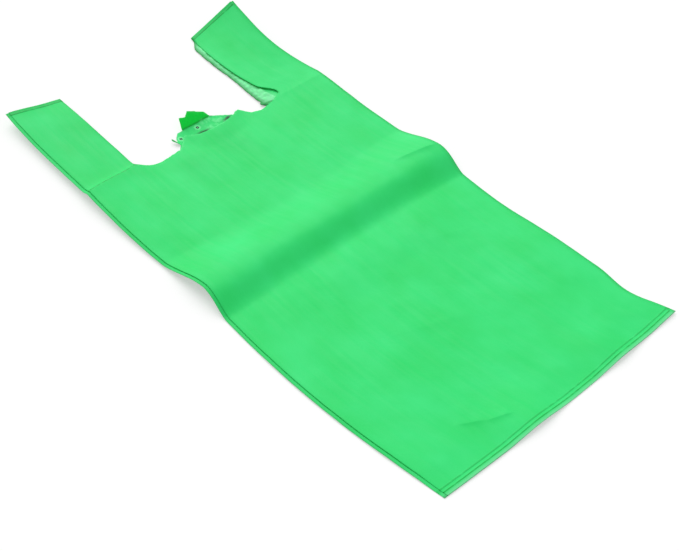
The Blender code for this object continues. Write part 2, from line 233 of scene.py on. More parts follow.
def ragged(points, seed):
    """A torn edge: the line through the points, broken into short steps that waver."""
    made = []
    for (x0, y0), (x1, y1) in zip(points, points[1:]):
        length = math.hypot(x1 - x0, y1 - y0)
        count = max(1, round(length / RAGGED_STEP))
        for i in range(count):
            t = i / count
            x, y = x0 + (x1 - x0) * t, y0 + (y1 - y0) * t
            place = Vector((x * RAGGED_FREQUENCY, y * RAGGED_FREQUENCY, seed))
            sway = noise.noise(place) * RAGGED_SIZE * (i > 0)
            made.append((x - sway * (y1 - y0) / length, y + sway * (x1 - x0) / length))
    return made + [points[-1]]


def root_scoop():
    """From the left handle's inner edge round its root to the bottom of the scoop."""
    reach = math.sqrt(ROOT_RISE * (2 * SCOOP_RADIUS - ROOT_RISE))
    centre = (-HANDLE_EDGE + reach, SCOOP_LINE + SCOOP_RADIUS)
    turn = math.asin(reach / SCOOP_RADIUS)
    return arc(centre, SCOOP_RADIUS, -math.pi / 2 - turn, -math.pi / 2)


def mouth_outline():
    """The mouth between the handles, down to the scoops and the torn edge of the tab."""
    left = root_scoop()
    right = [(-x, y) for x, y in reversed(left)]
    tear = ragged([left[-1]] + [tab_point(*p) for p in BACK_TEAR] + [right[0]], BACK_TEAR_SEED)
    cut = np.arange(LENGTH - CUT_PACE / 2, left[0][1] + CUT_PACE / 2, -CUT_PACE).tolist()
    left_cut = [(-HANDLE_EDGE, v) for v in [LENGTH + BEYOND] + cut]
    right_cut = [(-x, v) for x, v in reversed(left_cut)]
    return left_cut + left[:-1] + tear + right[1:] + right_cut


def front_outline():
    """What is torn away from the front ply alone."""
    top = SCOOP_LINE + TAB_HEIGHT + BEYOND
    tear = ragged([tab_point(*p) for p in FRONT_TEAR], FRONT_TEAR_SEED)
    return [(tear[0][0], top)] + tear + [(tear[-1][0], top)]


def clip_half(points, limit, keep_above):
    """The part of a polygon on one side of the line x = limit."""
    sign = 1 if keep_above else -1
    out = []
    for (x0, y0), (x1, y1) in zip(points, points[1:] + points[:1]):
        inside0, inside1 = sign * (x0 - limit) >= 0, sign * (x1 - limit) >= 0
        if inside0:
            out.append((x0, y0))
        if inside0 != inside1:
            t = (limit - x0) / (x1 - x0)
            out.append((limit, y0 + (y1 - y0) * t))
    return out


# From a place across the flat bag to the unrolled tube, for each ply


def back_u(x):
    return -U_LOWER - (x + HALF + PROUD)


def front_u(x):
    return x


def upper_left_u(x):
    return -x - 2 * HALF


def upper_right_u(x):
    return 2 * HALF - x


def lower_left_u(x):
    return x - U_INNER + GUSSET_FOLD


def lower_right_u(x):
    return U_INNER + x - GUSSET_FOLD


def on_ply(points, to_u):
    return np.stack([to_u(points[:, 0]), points[:, 1]], 1)


def outline_on_ply(outline, to_u):
    return [(to_u(x), y) for x, y in outline]


# Points of the unrolled tube


def column(u, rows):
    return np.stack([np.full(len(rows), u), rows], 1)


def grid(x0, x1, v0, v1, step):
    """Points in rows, with every other row set over by half a step."""
    nx, ny = round((x1 - x0) / step), round((v1 - v0) / step)
    gx, gy = np.meshgrid(np.linspace(x0, x1, nx + 1), np.linspace(v0, v1, ny + 1))
    gx = gx + np.where(np.arange(ny + 1)[:, None] % 2, step / 2, 0)
    return np.stack([gx.ravel(), gy.ravel()], 1)


def beside_line(start, end, offsets, pace):
    """Points along a line and along its neighbours at the offsets, positive to the left of the way."""
    (x0, v0), (x1, v1) = start, end
    length = math.hypot(x1 - x0, v1 - v0)
    along = np.linspace(0, 1, max(2, round(length / pace)))
    lines = []
    for off in offsets:
        x = x0 + (x1 - x0) * along - (v1 - v0) / length * off
        v = v0 + (v1 - v0) * along + (x1 - x0) / length * off
        lines.append(np.stack([x, v], 1))
    return np.concatenate(lines)


def fold_lines():
    """Where the folds lie on the unrolled tube, with the columns that round them."""
    lines = []
    for fold, _, _ in FOLDS[:-1]:
        lines += [fold - FOLD / 2, fold - FOLD / 4, fold, fold + FOLD / 4, fold + FOLD / 2]
    return lines


def pattern_spans():
    """Spans of the tube between its folds, with the step across each."""
    return (
        (U_START, -U_LOWER - HALF_FOLD, BACK_STEP),
        (-U_LOWER + HALF_FOLD, -U_INNER - HALF_FOLD, GUSSET_STEP),
        (-U_INNER + HALF_FOLD, -U_FRONT - HALF_FOLD, GUSSET_STEP),
        (-U_FRONT + HALF_FOLD, U_FRONT - HALF_FOLD, FRONT_STEP),
        (U_FRONT + HALF_FOLD, U_INNER - HALF_FOLD, GUSSET_STEP),
        (U_INNER + HALF_FOLD, U_LOWER, GUSSET_STEP),
    )


def pattern_rows(step, seal_step):
    ridge_low, ridge_high = RIDGE_PLACE - RIDGE_RISE - RIDGE_MARGIN, RIDGE_PLACE + RIDGE_FALL
    spans = (
        (0, BOTTOM_SEALED, seal_step), (BOTTOM_SEALED, ridge_low, step),
        (ridge_low, ridge_high, step * RIDGE_ROWS),
        (ridge_high, HANDLE_SEALED, step), (HANDLE_SEALED, LENGTH, seal_step),
    )
    rows = [0.0]
    for start, end, pace in spans:
        count = max(1, round((end - start) / pace))
        rows += [start + (end - start) * (i + 1) / count for i in range(count)]
    return np.array(rows)


def fine_areas():
    """Areas with finer points: from and to across, from and to along, step, ply."""
    low, high = SCOOP_LINE - 0.004, LENGTH - 0.012
    return (
        (-TAB_HALF, TAB_HALF, SCOOP_LINE - 0.006, SCOOP_LINE + TAB_HEIGHT, 0.0014, back_u),
        (-TAB_HALF, TAB_HALF, SCOOP_LINE - 0.020, SCOOP_LINE + TAB_HEIGHT * 0.5, 0.0016, front_u),
        (HANDLE_EDGE, HANDLE_EDGE + 0.014, low, high, 0.0016, lower_right_u),
        (HANDLE_EDGE, HANDLE_EDGE + 0.014, low, high, 0.0022, back_u),
        (HANDLE_EDGE, HANDLE_EDGE + 0.010, low, high, 0.0018, front_u),
    )


def fine_points(rows):
    """Groups of points where the film bends sharply or is torn, the most exact ones first."""
    flap_fold = beside_line((-TAB_HALF, FLAP_LINE), (TAB_HALF, FLAP_LINE), FLAP_OFFSETS, FLAP_PACE)
    groups = [on_ply(flap_fold, back_u)]
    for x0, x1, v0, v1, step, to_u in fine_areas():
        groups.append(on_ply(grid(x0, x1, v0, v1, step), to_u))
    for start, end, _, right_reach, left_reach in CREASES:
        offsets = (-right_reach / 2, -CREASE_ROUND, 0, CREASE_ROUND, left_reach / 3)
        groups.append(beside_line(start, end, offsets, CREASE_PACE))
    root_line = ((-HALF, ROOT_LINE - CREASE_SLANT), (-HANDLE_EDGE, ROOT_LINE))
    groups.append(beside_line(*root_line, ROOT_OFFSETS, CREASE_PACE))
    lower_root = beside_line(*root_line, LOWER_ROOT_OFFSETS, LOWER_PACE)
    groups += [on_ply(lower_root, to_u) for to_u in (upper_left_u, lower_left_u, back_u)]
    handle_rows = rows[(rows > COLUMN_START) & (rows < HANDLE_SEALED)]
    groups += [column(u, handle_rows) for u in HANDLE_COLUMNS]
    groups += [column(u, rows) for u in EDGE_COLUMNS]
    return groups


def apart(groups, gaps):
    """All points of the groups in turn, without those too near to a point of an earlier group."""
    kept = groups[0]
    for group, gap in zip(groups[1:], gaps):
        tree = kdtree.KDTree(len(kept))
        for number, (u, v) in enumerate(kept):
            tree.insert((u, v, 0), number)
        tree.balance()
        clear = [tree.find((u, v, 0))[2] > gap for u, v in group]
        kept = np.concatenate([kept, group[np.array(clear)]])
    return kept


def tube_points():
    """All free points of the pattern: along the folds, in the fine areas and in plain rows."""
    rows, lower_rows = pattern_rows(ROW_STEP, SEAL_STEP), pattern_rows(LOWER_ROW_STEP, LOWER_SEAL_STEP)
    folds = []
    for u in fold_lines():
        at_front = abs(abs(u) - U_FRONT) < FOLD
        folds.append(column(u, rows if at_front else lower_rows))
    coarse = []
    for start, end, step in pattern_spans():
        across = np.linspace(start, end, round((end - start) / step) + 1)
        for v in rows if step == FRONT_STEP else lower_rows:
            coarse.append(np.stack([across, np.full(len(across), v)], 1))
    fine = fine_points(rows)
    groups = [np.concatenate(folds)] + fine + [np.concatenate(coarse)]
    return apart(groups, [FINE_GAP] * len(fine) + [COARSE_GAP])


def cut_outlines():
    """Outlines of all that is cut or torn out of the tube, and of the rims around the pin holes."""
    mouth, front = mouth_outline(), front_outline()
    right_mouth = clip_half(mouth, GUSSET_FOLD, True)
    left_mouth = clip_half(mouth, -GUSSET_FOLD, False)
    holes = [mouth, front]
    for outline, to_u in (
        (right_mouth, upper_right_u), (left_mouth, upper_left_u),
        (right_mouth, lower_right_u), (left_mouth, lower_left_u), (mouth, back_u),
    ):
        holes.append(outline_on_ply(outline, to_u))
    pins = [tab_point(*place) for place in PIN_PLACES]
    holes += [outline_on_ply(ring(pin, PIN_HOLE / 2), back_u) for pin in pins]
    rims = [outline_on_ply(ring(pin, radius), back_u) for pin in pins for radius in PIN_RIMS]
    return holes, rims


def inside(points, polygon):
    """Which of the points lie in the polygon."""
    x, y = points[:, 0], points[:, 1]
    found = np.zeros(len(points), bool)
    ends = np.array(polygon)
    for (x0, y0), (x1, y1) in zip(ends, np.roll(ends, -1, axis=0)):
        if y0 == y1:
            continue
        crosses = (y0 > y) != (y1 > y)
        found ^= crosses & (x < (x1 - x0) * (y - y0) / (y1 - y0) + x0)
    return found


def pattern():
    """Points and triangles of the unrolled tube, with the mouth, tears and pin holes cut out."""
    coordinates = [Vector((float(u), float(v))) for u, v in tube_points()]
    holes, rims = cut_outlines()
    lines = []
    for polygon in holes + rims:
        first = len(coordinates)
        coordinates += [Vector(p) for p in polygon]
        lines += [(first + i, first + (i + 1) % len(polygon)) for i in range(len(polygon))]
    edges = [[(u, 0.0), (u, LENGTH)] for u in fold_lines() + [U_START, U_LOWER]]
    edges += [[(U_START, v), (U_LOWER, v)] for v in (0.0, LENGTH)]
    for start, end in edges:
        lines.append((len(coordinates), len(coordinates) + 1))
        coordinates += [Vector(start), Vector(end)]
    result = delaunay_2d_cdt(coordinates, lines, [], 0, TINY, True)
    flat = np.array([tuple(p) for p in result[0]])
    faces = np.array([f for f in result[2] if len(f) == 3])
    middle = flat[faces].mean(axis=1)
    u, v = middle.T
    kept = (u > U_START) & (u < U_LOWER) & (v > 0) & (v < LENGTH)
    for polygon in holes:
        kept &= ~inside(middle, polygon)
    faces = faces[kept]
    used, faces = np.unique(faces, return_inverse=True)
    return flat[used], faces.reshape(-1, 3)


# Folding: from a place on the unrolled tube to a place in the flat bag


def pitch_at(v):
    """Distance between two plies, less near the welds."""
    to_weld = np.minimum(abs(v - BOTTOM_SKIRT), abs(LENGTH - HANDLE_SKIRT - v))
    return WELD_PITCH + (PITCH - WELD_PITCH) * smooth(to_weld / WELD_DRAW)


def fold_flat(u):
    """x in the flat bag and the level of the ply, from 0 at the back to 3 at the front."""
    spans = [u < -U_LOWER, u < -U_INNER, u < -U_FRONT, u <= U_FRONT, u <= U_INNER]
    x = np.select(
        spans,
        [-(u + U_LOWER) - HALF - PROUD, u + U_INNER - GUSSET_FOLD, -u - 2 * HALF, u, 2 * HALF - u],
        u - U_INNER + GUSSET_FOLD,
    )
    level = np.select(spans, [0.0, 1.0, 2.0, 3.0, 2.0], 1.0)
    for fold, before, after in FOLDS:
        near = abs(u - fold) <= HALF_FOLD + TINY
        turn = np.clip((u - fold) / HALF_FOLD, -1, 1) * math.pi / 2
        eased = before + (after - before) * (0.5 + 0.5 * np.sin(turn))
        level = np.where(near, eased, level)
    return x, level


# The way that the bag lies, as in its solid


def ridge(x, v):
    """The soft ridge that a fold across the bag has left: crisper and higher at the side edges."""
    rise = np.clip((v - (RIDGE_PLACE - RIDGE_RISE)) / RIDGE_RISE, 0, 1)
    fall = np.clip((RIDGE_PLACE + RIDGE_FALL - v) / RIDGE_FALL, 0, 1)
    inward = 1 - side_share(abs(x), EDGE_START, HALF)
    sharpness = RIDGE_SHARPNESS + RIDGE_SOFTNESS * inward
    shape = (np.sin(math.pi / 2 * rise) * np.sin(math.pi / 2 * fall)) ** sharpness
    foot = FOOT_SWELL * inward * bump(v - RIDGE_PLACE + FOOT_DISTANCE, FOOT_REACH)
    return (RIDGE_HEIGHT - RIDGE_SAG * inward) * shape + foot


def ridge_taken(v, step=0.0005):
    """Length of film that the ridge takes up, as far as each place."""
    along = np.arange(0, LENGTH + step, step)
    slope = np.gradient(ridge(HALF / 2, along), along)
    return np.interp(v, along, np.cumsum(1 - np.sqrt(1 - slope**2)) * step)


def handle_lie(x, v):
    """Height and sideways shift: each handle tilts up along its outer edge, more toward its end."""
    along = np.clip((v - ROOT_LINE) / (LENGTH - ROOT_LINE), 0, 1)
    left = np.clip((-HANDLE_EDGE - x) / HANDLE_WIDTH, 0, 1)
    right = np.clip((x - HANDLE_EDGE) / HANDLE_WIDTH, 0, 1)
    full = along**CURL_POWER * np.where(x < 0, LEFT_CURL, RIGHT_CURL)
    left_lift = LEFT_SHOULDER * side_share(x, -HANDLE_EDGE, -HALF)
    right_lift = RIGHT_SHOULDER * side_share(x, HANDLE_EDGE, HALF)
    lifted = bell(v - SCOOP_LINE, SHOULDER_REACH) * (left_lift + right_lift)
    aside = 0.5 * full**2 / HANDLE_WIDTH * (left - right)
    lean = np.where(x < 0, LEFT_LEAN * along, RIGHT_LEAN * along - RIGHT_BOW * np.sin(math.pi * along))
    aside += lean * side_share(abs(x), TAB_HALF, HANDLE_EDGE)
    return full * (left + right) + lifted, aside


def drift(x, v):
    """Sideways drift of the body, and the nip in its right edge near the bottom."""
    shift = -LOWER_BOW * np.sin(math.pi * np.clip(v / RIDGE_PLACE, 0, 1))
    shift -= UPPER_BOW * np.sin(math.pi * np.clip((v - RIDGE_PLACE) / (ROOT_LINE - RIDGE_PLACE), 0, 1))
    edge = EDGE_BULGE * bump(v - BULGE_PLACE, BULGE_REACH) - EDGE_NIP * bump(v - NIP_PLACE, NIP_REACH)
    return shift + edge * side_share(x, EDGE_START, HALF)


def edge_puff(x, v):
    """The right edge stands off the surface below the ridge."""
    return EDGE_PUFF * bump(v - BULGE_PLACE, BULGE_REACH) * side_share(x, EDGE_START, HALF)


def root_distance(x, v):
    """Distance above the crease at the left handle's root, which is lower at its outer end."""
    return v - ROOT_LINE + CREASE_SLANT * np.clip((-HANDLE_EDGE - x) / HANDLE_WIDTH, 0, 1)


def root_crease(x, v):
    """The film lifts toward the crease at the left handle's root and drops beyond it."""
    above = root_distance(x, v)
    away = np.where(above < 0, -above / CREASE_REACH, above / CREASE_DROP)
    return CREASE_LIFT * np.exp(-away) * side_share(x, -HANDLE_EDGE + SCOOP_WIDTH / 2, -HANDLE_EDGE)


def tab_lie(x, v):
    """Height of the torn tab and the length that its standing flap takes up."""
    on_tab = smooth((TAB_REACH - abs(x)) / TAB_HALF)
    beyond = np.maximum(v - FLAP_LINE, 0) * (abs(x) < TAB_HALF)
    height = TAB_LIFT * smooth((v - SCOOP_LINE - TAB_HEIGHT / 3) / TAB_HEIGHT) * on_tab
    return height + beyond * math.sin(FLAP_ANGLE), beyond * (1 - math.cos(FLAP_ANGLE))


def hem_lie(x, v):
    """Lifts of the bottom edge, dying out up the bag."""
    wave = sum(height * bump(x - place, reach) for place, reach, height in HEM_LIFTS)
    return wave * smooth(1 - v / HEM_REACH)


def hem_bow(x, v):
    """The bottom edge bows out between its corners."""
    return -HEM_BOW * np.clip(1 - (x / HALF) ** 2, 0, 1) * smooth(1 - v / BOW_REACH)


def lie(x, v):
    """Height, sideways shift and length taken up: the way that the whole bag lies."""
    lifted, aside = handle_lie(x, v)
    stood, folded = tab_lie(x, v)
    height = ridge(x, v) + lifted + stood + root_crease(x, v) + hem_lie(x, v) + edge_puff(x, v)
    return height, aside + drift(x, v), ridge_taken(v) + folded - hem_bow(x, v)


def slid_plies(x, v, upper):
    """Shift of the right handle's plies from the mouth: the upper plies out, the lower ones in."""
    start = smooth((v - SCOOP_LINE) / SLIP_EASE)
    end = smooth((LENGTH - HANDLE_SKIRT - v) / (2 * SLIP_EASE))
    inner = smooth((HANDLE_EDGE + SLIP_DEPTH - x) / SLIP_DEPTH)
    off_tab = smooth((x - TAB_HALF) / SLIP_EASE)
    lower_in = HANDLE_SLIP + ROOT_SLIP * bump(v - SCOOP_LINE - SLIP_RISE, SLIP_REACH)
    upper_out = ROOT_PULL * bump(v - SCOOP_LINE - PULL_RISE, PULL_REACH)
    return (upper_out * upper - lower_in * (1 - upper)) * start * end * inner * off_tab


# Small forms of the film, which only the visible sheet has


def along_line(x, v, start, end):
    """Distance from a line, positive to the left of the way, and the share of the way along it."""
    (x0, v0), (x1, v1) = start, end
    length = math.hypot(x1 - x0, v1 - v0)
    aside = ((v - v0) * (x1 - x0) - (x - x0) * (v1 - v0)) / length
    along = ((x - x0) * (x1 - x0) + (v - v0) * (v1 - v0)) / length**2
    return aside, along


def line_distance(x, v, points):
    """Distance from each place to a line of several points."""
    nearest = np.full(len(x), 1.0)
    for start, end in zip(points, points[1:]):
        aside, along = along_line(x, v, start, end)
        length = math.hypot(end[0] - start[0], end[1] - start[1])
        beyond = np.maximum(np.maximum(-along, along - 1), 0) * length
        nearest = np.minimum(nearest, np.hypot(aside, beyond))
    return nearest


def noise_field(x, v, scale, seed, octaves=2):
    places = [Vector((a / scale, b / scale, seed)) for a, b in zip(x, v)]
    return np.array([noise.fractal(place, NOISE_GAIN, NOISE_GROWTH, octaves) for place in places])


def slight_creases(x, v):
    height = 0
    for start, end, rise, right_reach, left_reach in CREASES:
        aside, along = along_line(x, v, start, end)
        away = np.hypot(aside, CREASE_ROUND) - CREASE_ROUND
        reach = np.where(aside < 0, right_reach, left_reach)
        begun = smooth((along + CREASE_BEYOND) / CREASE_EASE)
        not_over = smooth((1 + CREASE_BEYOND - along) / CREASE_EASE)
        height = height + rise * np.exp(-away / reach) * (begun * not_over)
    return height


def seal_lines(v):
    return sum(rise * bell(v - place, SEAL_WIDTH) for place, rise in SEALS)


def front_lip(x, v, front):
    """The torn front ply stands off the ply behind it, most at its torn edge."""
    across, up = np.array(FRONT_TEAR).T
    edge = SCOOP_LINE + TAB_HEIGHT * np.interp(x / TAB_HALF, across, up)
    begun = smooth((x / TAB_HALF + LIP_START) / LIP_START_EASE)
    not_over = smooth((LIP_END - x / TAB_HALF) / LIP_END_EASE)
    return LIP_RISE * smooth(1 - np.maximum(edge - v, 0) / LIP_REACH) * (begun * not_over) * front


def film_zones(x, v, level, slid):
    """Shares of each point in the zones that both the lie and the colours of the film use."""
    across, up = x / TAB_HALF, (v - SCOOP_LINE) / TAB_HEIGHT
    front, back = smooth((level - 2.6) / 0.3), level < 0.5
    on_tab = (abs(x) < TAB_HALF) & (v > SCOOP_LINE)
    tab_back = on_tab & back & (v < FLAP_LINE + 0.001)
    in_sliver = (across > -0.8) & (up > 0.20) & (up < 0.55)
    return SimpleNamespace(
        across=across, front=front, back=back, on_tab=on_tab,
        exposed=smooth((HANDLE_EDGE + 0.004 - x - slid) / 0.006) * (slid < 0),
        right_of_pin=smooth((across + 0.02) / 0.15) * tab_back,
        sliver=smooth((-0.60 - across) / 0.07) * in_sliver * back,
        crumple=abs(noise_field(x, v, CRUMPLE_SCALE, CRUMPLE_SEED)),
        root=root_distance(x, v),
        on_root=(x < -HANDLE_EDGE + 0.0005) & (v > SCOOP_LINE - 0.01),
    )


def small_forms(x, v, slid, upper, zone):
    """Height that the handle's opening, crumples, swells, creases, seals and torn edges add."""
    begun = smooth((v - SCOOP_LINE) / OPENING_START)
    not_over = smooth((LENGTH - OPENING_END - v) / OPENING_FALL)
    inner = (1 - side_share(x, HANDLE_EDGE, HALF - OPENING_MARGIN)) * (x > 0)
    height = HANDLE_OPENING * (begun * not_over) * inner * upper
    crumpled = HANDLE_CRUMPLE * zone.exposed * smooth(-slid / CRUMPLE_CLEAR) + TAB_CRUMPLE * zone.right_of_pin
    height = height + zone.crumple * crumpled
    swell = 0.5 + 0.5 * noise_field(x, v, BROAD_SCALE, BROAD_SEED)
    height = height + BROAD_SWELL * swell * smooth(v / BROAD_START)
    height = height + SMALL_SWELL * noise_field(x, v, SMALL_SCALE, SMALL_SEED) * smooth(v / SMALL_START)
    height = height + slight_creases(x, v) + seal_lines(v) * zone.front
    frill = 0.5 + 0.5 * noise_field(x, v * FRILL_STRETCH, FRILL_SCALE, FRILL_SEED, 1)
    height = height + FRILL * frill * smooth(1 - v / FRILL_REACH)
    height = height - GROOVE_DEPTH * bell(zone.root, GROOVE_WIDTH) * zone.on_root
    return height + front_lip(x, v, zone.front) + SLIVER_RISE * zone.sliver


# Marks for the colours: each is a share from 0 to 1 at every point of the film

# Painted shade: slightly darker patches of the front, below the tear and on the left handle: place, reach
PATCHES = ((0.009, 0.4455, 0.034), (-0.043, 0.4370, 0.032), (-0.1215, 0.5450, 0.120))
PATCH_DEPTH = 0.13
# Painted shade of the slits between the torn front ply and the back ply: place in half widths of the tab,
# reach
SLITS = ((-0.05, 0.19), (0.53, 0.17))
SLIT_REACH, SLIT_EASE = 0.0054, 0.0014
# Around each pin hole: painted shade out to the first distance, a pale rim between the other two
PIN_DARK, PIN_PALE_FROM, PIN_PALE_TO = 0.0014, 0.0016, 0.0032
SIDE_FLAP = -0.36
# Widths of the paler strip at the bottom end and of the darker strip at the handle ends, which is painted
# shade
PALE_END, DARK_END = 0.0044, 0.0036
OWN_EDGE = 0.0060
DARKEST = 0.95


def stress_and_highlight_mark(x, v, zone, own_edge, hole, slit):
    """Pale where the film is stretched or crumpled: pin holes, torn edges, the slid plies. On the crumple
    crests it is partly painted highlight.
    """
    tear = line_distance(x, v, [tab_point(*p) for p in BACK_TEAR])
    lip = line_distance(x, v, [tab_point(*p) for p in FRONT_TEAR])
    stress_and_highlight = 0.85 * (hole < PIN_PALE_TO) * (hole > PIN_PALE_FROM) * zone.back
    # pale on the crumple crests beside the pin: partly stress whitening, partly painted highlight
    stress_and_highlight = stress_and_highlight + 0.50 * zone.right_of_pin * smooth(zone.crumple * 3 - 0.5)
    stress_and_highlight = stress_and_highlight + 0.30 * np.exp(-tear / 0.0006) * zone.on_tab
    stress_and_highlight = stress_and_highlight + 0.45 * np.exp(-lip / 0.0007) * zone.front * zone.on_tab * (1 - slit)
    # the slid plies: pale crumple crests, partly painted highlight, and pale away from their own edge
    crumpled = 0.75 * smooth(zone.crumple * 4 - 1.0) + 0.6 * smooth(own_edge * 2 - 1)
    return stress_and_highlight + zone.exposed * crumpled


def lines_and_painted_shade_mark(u, x, v, zone, own_edge):
    """Dark lines of folds, cut edges and seals, and painted shade: the root's crease, the darker patches, the
    handle ends and the slid plies' edge and crumple hollows.
    """
    speck = noise_field(x, v, SPECK_SCALE, SPECK_SEED)
    folds = np.min([abs(abs(u) - fold) for fold in (U_FRONT, U_INNER, U_LOWER)], axis=0)
    cut = abs(abs(x) - HANDLE_EDGE) + 0.1 * (v < SCOOP_LINE + 0.008)
    # painted shade: a dark line along the crease at the left handle's root
    line = 0.95 * bell(zone.root, 0.0008) * zone.on_root * smooth(0.85 + speck)
    patches = sum(bump(np.hypot(x - a, v - b), reach) for a, b, reach in PATCHES)
    # painted shade in the darker patches of the front
    line = line + PATCH_DEPTH * zone.front * patches
    line = line + 0.30 * np.exp(-folds / 0.0007) + 0.35 * np.exp(-cut / 0.0008)
    strength = np.where(abs(v - FAINT_SEAL) < 0.001, 0.45, 0.8)
    line = line + (seal_lines(v) > 0.00009) * smooth(0.95 + speck) * strength
    # painted shade: a darker strip at the handle ends
    line = line + 0.40 * (v > LENGTH - DARK_END)
    # painted shade along the slid plies' own edge and in the hollows of their crumples
    crumpled = 0.75 * (1 - own_edge) + 0.65 * smooth(0.45 - 3 * zone.crumple)
    return line + zone.exposed * crumpled + 0.9 * zone.sliver


def painted_gap_shade_mark(x, v, zone, hole, slit):
    """Nearly black painted shade: around the pin holes, in the slits beside the tear and in the fold of the
    standing flap.
    """
    lip = line_distance(x, v, [tab_point(*p) for p in FRONT_TEAR])
    # painted shade in the fold of the standing flap and around the pin holes
    gap = 0.60 * bell(v - FLAP_LINE, 0.0008) * zone.on_tab * zone.back + (hole < PIN_DARK) * zone.back
    # painted shade in the slits beside the front tear
    return gap + slit * smooth((SLIT_REACH - lip) / SLIT_EASE) * zone.on_tab * zone.back


def film_marks(u, x, v, zone):
    flap = (v > FLAP_LINE) & (abs(x) < TAB_HALF)
    side_flap = flap & (zone.across < SIDE_FLAP)
    pins = [tab_point(*place) for place in PIN_PLACES]
    hole = np.minimum(*[np.hypot(x - pin[0], v - pin[1]) for pin in pins])
    slit = sum(bump(zone.across - place, reach) for place, reach in SLITS)
    own_edge = smooth((x - HANDLE_EDGE) / OWN_EDGE)
    return {
        "pale": zone.exposed + 0.60 * smooth(1 - v / PALE_END) + 0.35 * side_flap,
        # painted backlight: the standing flap is tinted a brighter, richer green, as if lit through from
        # behind
        "painted_backlight": flap * (1 - 0.7 * side_flap),
        "stress_and_highlight": np.clip(stress_and_highlight_mark(x, v, zone, own_edge, hole, slit), 0, 1),
        # dark lines of folds, cuts and seals, and painted shade
        "line": np.clip(lines_and_painted_shade_mark(u, x, v, zone, own_edge), 0, DARKEST),
        # nearly black painted shade
        "gap": np.clip(painted_gap_shade_mark(x, v, zone, hole, slit), 0, DARKEST),
    }


# The visible sheet


def film_points(flat):
    """Where each point of the unrolled tube comes to lie, its marks and its place for the patterns."""
    u, v = flat.T
    x, level = fold_flat(u)
    down = smooth((GUSSET_FOLD - abs(x)) / STEP_WIDTH) * (level > 2.5)
    stack = FILM / 2 + pitch_at(v) * (level - 2 * down)
    upper = np.clip(level - 1, 0, 1)
    slid = slid_plies(x, v, upper)
    zone = film_zones(x, v, level, slid)
    height, aside, taken = lie(x + slid, v)
    height = np.maximum(height + small_forms(x, v, slid, upper, zone), 0)
    placed = np.stack([x + aside + slid - MIDDLE_X, v - taken - MIDDLE_Y, stack + height], 1)
    return placed, film_marks(u, x, v, zone), np.stack([x, v, level * 0.05], 1)


def film_mesh():
    """The sheet, with its marks as attributes, its seam joined and its wall as a modifier."""
    flat, faces = pattern()
    placed, marks, places = film_points(flat)
    mesh = bpy.data.meshes.new("bag_film")
    mesh.from_pydata(placed.tolist(), [], faces.tolist())
    for name, values in marks.items():
        mesh.attributes.new(name, "FLOAT", "POINT").data.foreach_set("value", values.astype(np.float32))
    place = mesh.attributes.new("place", "FLOAT_VECTOR", "POINT")
    place.data.foreach_set("vector", places.astype(np.float32).ravel())
    work = bmesh.new()
    work.from_mesh(mesh)
    at_seam = [min(abs(u - U_START), abs(u - U_LOWER)) < TINY for u in flat[:, 0]]
    seam = [vert for vert, joined in zip(work.verts, at_seam) if joined]
    bmesh.ops.remove_doubles(work, verts=seam, dist=TINY)
    bmesh.ops.recalc_face_normals(work, faces=work.faces)
    work.to_mesh(mesh)
    work.free()
    mesh.shade_smooth()
    obj = bpy.data.objects.new("bag_film", mesh)
    bpy.context.scene.collection.objects.link(obj)
    wall = obj.modifiers.new("film", "SOLIDIFY")
    wall.thickness = FILM
    wall.offset = 0
    wall.use_rim = True
    return obj


# Material. Tints are laid over the tone in this order, each by its own mark. The flap's tint is painted
# backlight, the two dark tints carry painted shade, and the pale stress tint is partly painted highlight.
SHEEN = 0.22
TONES = ((0.020, 0.72, 0.150, 1), (0.034, 0.79, 0.205, 1))
TINTS = (
    ("pale", (0.22, 0.72, 0.38, 1)), ("painted_backlight", (0.0, 0.90, 0.075, 1)),
    ("stress_and_highlight", (0.20, 0.95, 0.38, 1)), ("line", (0.0, 0.34, 0.045, 1)), ("gap", (0.0, 0.03, 0.01, 1)),
)
ROUGHNESS = (0.43, 0.57)
NOISE_RANGE = (0.3, 0.7)
BUMP_STRENGTH, BUMP_DISTANCE = 0.25, 0.0002


def stretched_noise(nodes, links, place, stretch, scale, detail):
    mapping = nodes.new("ShaderNodeMapping")
    mapping.inputs["Scale"].default_value = stretch
    links.new(place, mapping.inputs["Vector"])
    texture = nodes.new("ShaderNodeTexNoise")
    texture.inputs["Scale"].default_value = scale
    texture.inputs["Detail"].default_value = detail
    links.new(mapping.outputs["Vector"], texture.inputs["Vector"])
    return texture.outputs["Fac"]


def ranged(nodes, links, value, to_low, to_high):
    """The middle range of a noise, spread between two values."""
    low, high = NOISE_RANGE
    span = nodes.new("ShaderNodeMapRange")
    for name, number in (("From Min", low), ("From Max", high), ("To Min", to_low), ("To Max", to_high)):
        span.inputs[name].default_value = number
    links.new(value, span.inputs["Value"])
    return span.outputs["Result"]


def colour_mix(nodes):
    mix = nodes.new("ShaderNodeMix")
    mix.data_type = "RGBA"
    return mix


